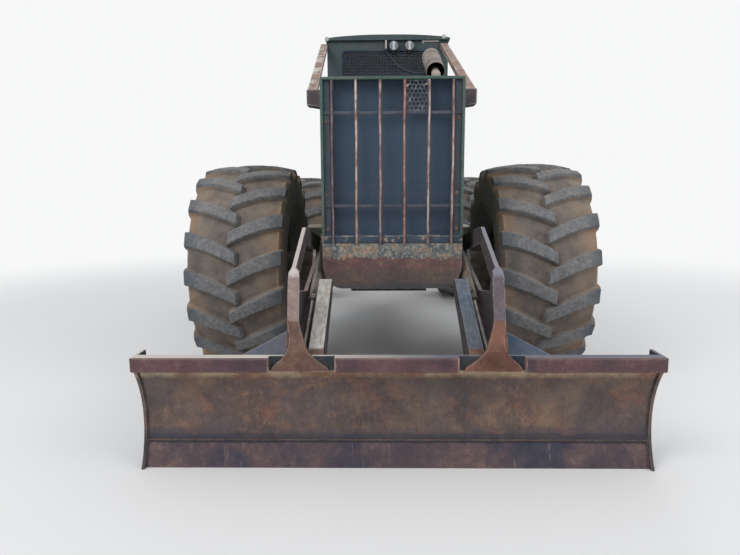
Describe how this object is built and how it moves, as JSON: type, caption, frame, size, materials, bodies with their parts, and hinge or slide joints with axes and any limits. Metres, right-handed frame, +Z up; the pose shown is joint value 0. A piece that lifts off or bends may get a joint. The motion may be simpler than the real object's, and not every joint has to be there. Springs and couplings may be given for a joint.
{
  "type": "log skidder",
  "caption": "Articulated log skidder with a front decking blade, barred grille, closed cab with limb risers, wide logging tyres, and a rear arch, boom and hanging grapple.",
  "frame": {"origin": "on the ground under the middle of the machine's box", "axes": "-Y is the way the machine faces, +X is across it, +Z is up"},
  "size_m": [3.252, 7.461, 3.27],
  "materials": {
    "frame_paint": "worn dark green paint",
    "axle_iron": "dusty cast iron",
    "engine_iron": "plain",
    "worn_nose": "rust with worn green paint",
    "hood_paint": "worn dark green paint",
    "grille_steel": "worn and rusted",
    "radiator_core": "dark core",
    "cab_paint": "worn dark green paint",
    "window_glass": "dusty",
    "seat_vinyl": "worn vinyl",
    "console_plastic": "matte",
    "riser_steel": "rusted and scraped",
    "muffler_steel": "rusted",
    "lamp_lens": "clear lens",
    "arm_steel": "rust with worn paint",
    "blade_steel": "rusted and scraped",
    "edge_steel": "dark worn steel",
    "barrel_steel": "scraped paint",
    "rod_chrome": "dull chrome",
    "arch_paint": "worn dark green paint",
    "link_steel": "greasy steel",
    "tong_steel": "scraped steel",
    "tyre_rubber": "dusty, worn",
    "rim_steel": "dusty paint"
  },
  "bodies": {
    "front_frame": {"front_chassis": "frame_paint", "engine_block": "engine_iron", "front_axle": "axle_iron", "nose": "worn_nose", "hood": "hood_paint", "grille": "grille_steel", "radiator": "radiator_core", "cab_shell": "cab_paint", "cab_roof": "cab_paint", "cab_glass": "window_glass", "seat": "seat_vinyl", "controls": "console_plastic", "limb_risers": "riser_steel", "muffler": "muffler_steel", "work_lamps": "lamp_lens", "side_steps": "frame_paint"},
    "door_left_body": {"door_left": "cab_paint"},
    "door_right_body": {"door_right": "cab_paint"},
    "blade": {"blade_arms": "arm_steel", "moldboard": "blade_steel", "cutting_edge": "edge_steel"},
    "blade_barrels": {"blade_cylinders": "barrel_steel"},
    "blade_rods_body": {"blade_rods": "rod_chrome"},
    "wheel_front_left": {"tyre_front_left": "tyre_rubber", "rim_front_left": "rim_steel"},
    "wheel_front_right": {"tyre_front_right": "tyre_rubber", "rim_front_right": "rim_steel"},
    "rear_frame": {"rear_chassis": "frame_paint", "rear_axle": "axle_iron"},
    "wheel_rear_left": {"tyre_rear_left": "tyre_rubber", "rim_rear_left": "rim_steel"},
    "wheel_rear_right": {"tyre_rear_right": "tyre_rubber", "rim_rear_right": "rim_steel"},
    "steer_left_barrel": {"steer_barrel_left": "barrel_steel"},
    "steer_left_rod": {"steer_rod_left": "rod_chrome"},
    "steer_right_barrel": {"steer_barrel_right": "barrel_steel"},
    "steer_right_rod": {"steer_rod_right": "rod_chrome"},
    "arch_body": {"arch": "arch_paint"},
    "arch_barrels": {"arch_cylinders": "barrel_steel"},
    "arch_rods_body": {"arch_rods": "rod_chrome"},
    "boom_body": {"boom": "arch_paint"},
    "boom_barrel_body": {"boom_cylinder": "barrel_steel"},
    "boom_rod_body": {"boom_rod": "rod_chrome"},
    "link_body": {"grapple_link": "link_steel"},
    "rotator_body": {"rotator": "link_steel"},
    "head_body": {"grapple_head": "arch_paint"},
    "tong_left_body": {"tong_left": "tong_steel"},
    "tong_right_body": {"tong_right": "tong_steel"},
    "tong_barrel_body": {"tong_barrel": "barrel_steel"},
    "tong_rod_body": {"tong_rod": "rod_chrome"}
  },
  "joints": [
    {"name": "front_left_wheel", "type": "hinge", "parent": "front_frame", "child": "wheel_front_left", "pos_m": [-1.236, -1.5645, 0.925], "axis": [1, 0, 0], "continuous": true},
    {"name": "front_right_wheel", "type": "hinge", "parent": "front_frame", "child": "wheel_front_right", "pos_m": [1.236, -1.5645, 0.925], "axis": [1, 0, 0], "continuous": true},
    {"name": "articulation", "type": "hinge", "parent": "front_frame", "child": "rear_frame", "pos_m": [0, 0.268, 0.83], "axis": [0, 0, 1], "range_deg": [-45, 45]},
    {"name": "rear_left_wheel", "type": "hinge", "parent": "rear_frame", "child": "wheel_rear_left", "pos_m": [-1.236, 2.1005, 0.925], "axis": [1, 0, 0], "continuous": true},
    {"name": "rear_right_wheel", "type": "hinge", "parent": "rear_frame", "child": "wheel_rear_right", "pos_m": [1.236, 2.1005, 0.925], "axis": [1, 0, 0], "continuous": true},
    {"name": "steer_left_tilt", "type": "hinge", "parent": "front_frame", "child": "steer_left_barrel", "pos_m": [-0.25, -0.812, 0.83], "axis": [0, 0, 1], "range_deg": [-4, 4]},
    {"name": "steer_left_slide", "type": "slide", "parent": "steer_left_barrel", "child": "steer_left_rod", "axis": [-0.0042, 1, 0], "range_m": [-0.19, 0.19]},
    {"name": "steer_right_tilt", "type": "hinge", "parent": "front_frame", "child": "steer_right_barrel", "pos_m": [0.25, -0.812, 0.83], "axis": [0, 0, 1], "range_deg": [-4, 4]},
    {"name": "steer_right_slide", "type": "slide", "parent": "steer_right_barrel", "child": "steer_right_rod", "axis": [0.0042, 1, 0], "range_m": [-0.19, 0.19]},
    {"name": "blade_lift", "type": "hinge", "parent": "front_frame", "child": "blade", "pos_m": [0, -1.9305, 0.98], "axis": [-1, 0, 0], "range_deg": [-8, 33]},
    {"name": "blade_barrel_tilt", "type": "hinge", "parent": "front_frame", "child": "blade_barrels", "pos_m": [0, -2.0305, 1.215], "axis": [-1, 0, 0], "range_deg": [-9, 36]},
    {"name": "blade_rod_slide", "type": "slide", "parent": "blade_barrels", "child": "blade_rods_body", "axis": [0, -0.9283, -0.3719], "range_m": [-0.15, 0.05]},
    {"name": "door_left_swing", "type": "hinge", "parent": "front_frame", "child": "door_left_body", "pos_m": [-0.67, -0.2695, 2.31], "axis": [0, 0, 1], "range_deg": [0, 95]},
    {"name": "door_right_swing", "type": "hinge", "parent": "front_frame", "child": "door_right_body", "pos_m": [0.67, -0.2695, 2.31], "axis": [0, 0, -1], "range_deg": [0, 95]},
    {"name": "arch_tilt", "type": "hinge", "parent": "rear_frame", "child": "arch_body", "pos_m": [0, 2.3005, 1.33], "axis": [-1, 0, 0], "range_deg": [0, 35]},
    {"name": "arch_barrel_tilt", "type": "hinge", "parent": "rear_frame", "child": "arch_barrels", "pos_m": [0, 1.4005, 1.23], "axis": [-1, 0, 0], "range_deg": [-1, 16]},
    {"name": "arch_rod_slide", "type": "slide", "parent": "arch_barrels", "child": "arch_rods_body", "axis": [0, 0.67, 0.7424], "range_m": [-0.01, 0.33]},
    {"name": "boom_lower", "type": "hinge", "parent": "arch_body", "child": "boom_body", "pos_m": [0, 2.5205, 2.62], "axis": [-1, 0, 0], "range_deg": [-25, 15]},
    {"name": "boom_barrel_tilt", "type": "hinge", "parent": "arch_body", "child": "boom_barrel_body", "pos_m": [0, 2.4505, 1.79], "axis": [-1, 0, 0], "range_deg": [-5, 4]},
    {"name": "boom_rod_slide", "type": "slide", "parent": "boom_barrel_body", "child": "boom_rod_body", "axis": [0, 0.6339, 0.7734], "range_m": [-0.13, 0.21]},
    {"name": "link_swing", "type": "hinge", "parent": "boom_body", "child": "link_body", "pos_m": [0, 3.5205, 2.38], "axis": [1, 0, 0], "range_deg": [-8, 50]},
    {"name": "side_swing", "type": "hinge", "parent": "link_body", "child": "rotator_body", "pos_m": [0, 3.5205, 2.22], "axis": [0, 1, 0], "range_deg": [-20, 20]},
    {"name": "grapple_turn", "type": "hinge", "parent": "rotator_body", "child": "head_body", "pos_m": [0, 3.5205, 2.0197], "axis": [0, 0, 1], "range_deg": [-90, 90]},
    {"name": "tong_open", "type": "hinge", "parent": "head_body", "child": "tong_right_body", "pos_m": [0.3, 3.5205, 1.7247], "axis": [0, -1, 0], "range_deg": [0, 48]},
    {"name": "tong_left_open", "type": "hinge", "parent": "head_body", "child": "tong_left_body", "pos_m": [-0.3, 3.5205, 1.7247], "axis": [0, 1, 0], "range_deg": [0, 48]},
    {"name": "tong_barrel_tilt", "type": "hinge", "parent": "tong_left_body", "child": "tong_barrel_body", "pos_m": [-0.389, 3.5205, 1.8927], "axis": [0, -1, 0], "range_deg": [0, 49]},
    {"name": "tong_rod_slide", "type": "slide", "parent": "tong_barrel_body", "child": "tong_rod_body", "axis": [1, 0, 0], "range_m": [-0.32, 0.01]}
  ],
  "couplings": [
    {"joint": "steer_left_tilt", "follows": "articulation", "ratio": 0.0675},
    {"joint": "steer_left_slide", "follows": "articulation", "m_per_rad": -0.2343},
    {"joint": "steer_right_tilt", "follows": "articulation", "ratio": 0.0675},
    {"joint": "steer_right_slide", "follows": "articulation", "m_per_rad": 0.2343},
    {"joint": "blade_barrel_tilt", "follows": "blade_lift", "ratio": 1.04},
    {"joint": "blade_rod_slide", "follows": "blade_lift", "m_per_rad": -0.2388},
    {"joint": "arch_barrel_tilt", "follows": "arch_tilt", "ratio": 0.414},
    {"joint": "arch_rod_slide", "follows": "arch_tilt", "m_per_rad": 0.511},
    {"joint": "boom_barrel_tilt", "follows": "boom_lower", "ratio": 0.15},
    {"joint": "boom_rod_slide", "follows": "boom_lower", "m_per_rad": -0.455},
    {"joint": "tong_left_open", "follows": "tong_open", "ratio": 1},
    {"joint": "tong_barrel_tilt", "follows": "tong_open", "ratio": 1},
    {"joint": "tong_rod_slide", "follows": "tong_open", "m_per_rad": -0.3684}
  ]
}
